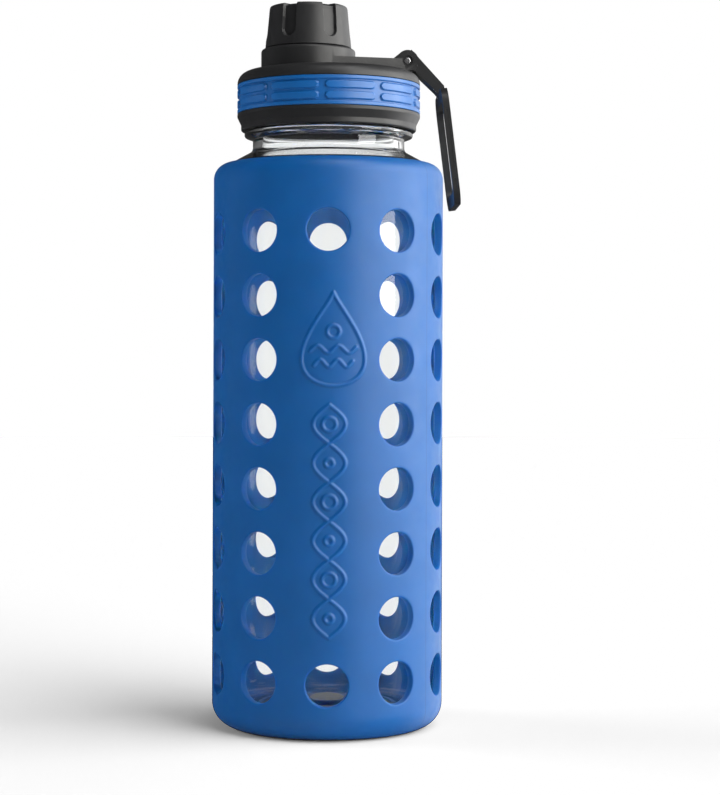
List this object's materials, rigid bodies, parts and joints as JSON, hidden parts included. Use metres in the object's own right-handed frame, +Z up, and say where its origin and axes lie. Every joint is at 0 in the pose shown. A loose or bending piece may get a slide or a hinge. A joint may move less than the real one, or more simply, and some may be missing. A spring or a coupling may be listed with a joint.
{
  "type": "glass water bottle",
  "caption": "Clear glass drinking bottle in a windowed silicone sleeve, with a wide screw lid, a grip band, a small screw cap over the spout and a swinging carry handle.",
  "frame": {"origin": "centre of the sleeve's flat underside, on the bottle's axis", "axes": "+Z up along the bottle's axis; the carry handle hangs at +X; the raised panel of the sleeve faces -Y"},
  "size_m": [0.0938, 0.088, 0.2754],
  "materials": {
    "clear_glass": "clear polished",
    "blue_silicone": "matte silicone",
    "blue_band": "satin",
    "black_plastic": "fine matte",
    "seal_silicone": "soft translucent white",
    "pin_steel": "polished"
  },
  "bodies": {
    "bottle": {"glass_bottle": "clear_glass", "silicone_sleeve": "blue_silicone"},
    "lid_seal": {"lid_gasket": "seal_silicone"},
    "lid": {"lid_cover": "black_plastic", "lid_liner": "black_plastic", "grip_band": "blue_band", "hinge_bracket": "black_plastic", "hinge_pin": "pin_steel"},
    "cap_seal": {"spout_cap_seal": "seal_silicone"},
    "cap": {"spout_cap": "black_plastic"},
    "handle": {"carry_handle": "black_plastic"}
  },
  "joints": [
    {"name": "lid_rise", "type": "slide", "parent": "bottle", "child": "lid_seal", "axis": [0, 0, 1], "range_m": [0, 0.0181]},
    {"name": "lid_turn", "type": "hinge", "parent": "lid_seal", "child": "lid", "pos_m": [0, 0, 0.2375], "axis": [0, 0, 1], "range_deg": [0, 1080]},
    {"name": "cap_rise", "type": "slide", "parent": "lid", "child": "cap_seal", "axis": [0, 0, 1], "range_m": [0, 0.0141]},
    {"name": "cap_turn", "type": "hinge", "parent": "cap_seal", "child": "cap", "pos_m": [-0.0079, 0, 0.266], "axis": [0, 0, 1], "range_deg": [0, 1260]},
    {"name": "handle_swing", "type": "hinge", "parent": "lid", "child": "handle", "pos_m": [0.03, 0, 0.2539], "axis": [0, -1, 0], "range_deg": [0, 180]}
  ],
  "couplings": [
    {"joint": "lid_rise", "follows": "lid_turn", "m_per_rad": 0.00095493},
    {"joint": "cap_rise", "follows": "cap_turn", "m_per_rad": 0.00063662}
  ]
}
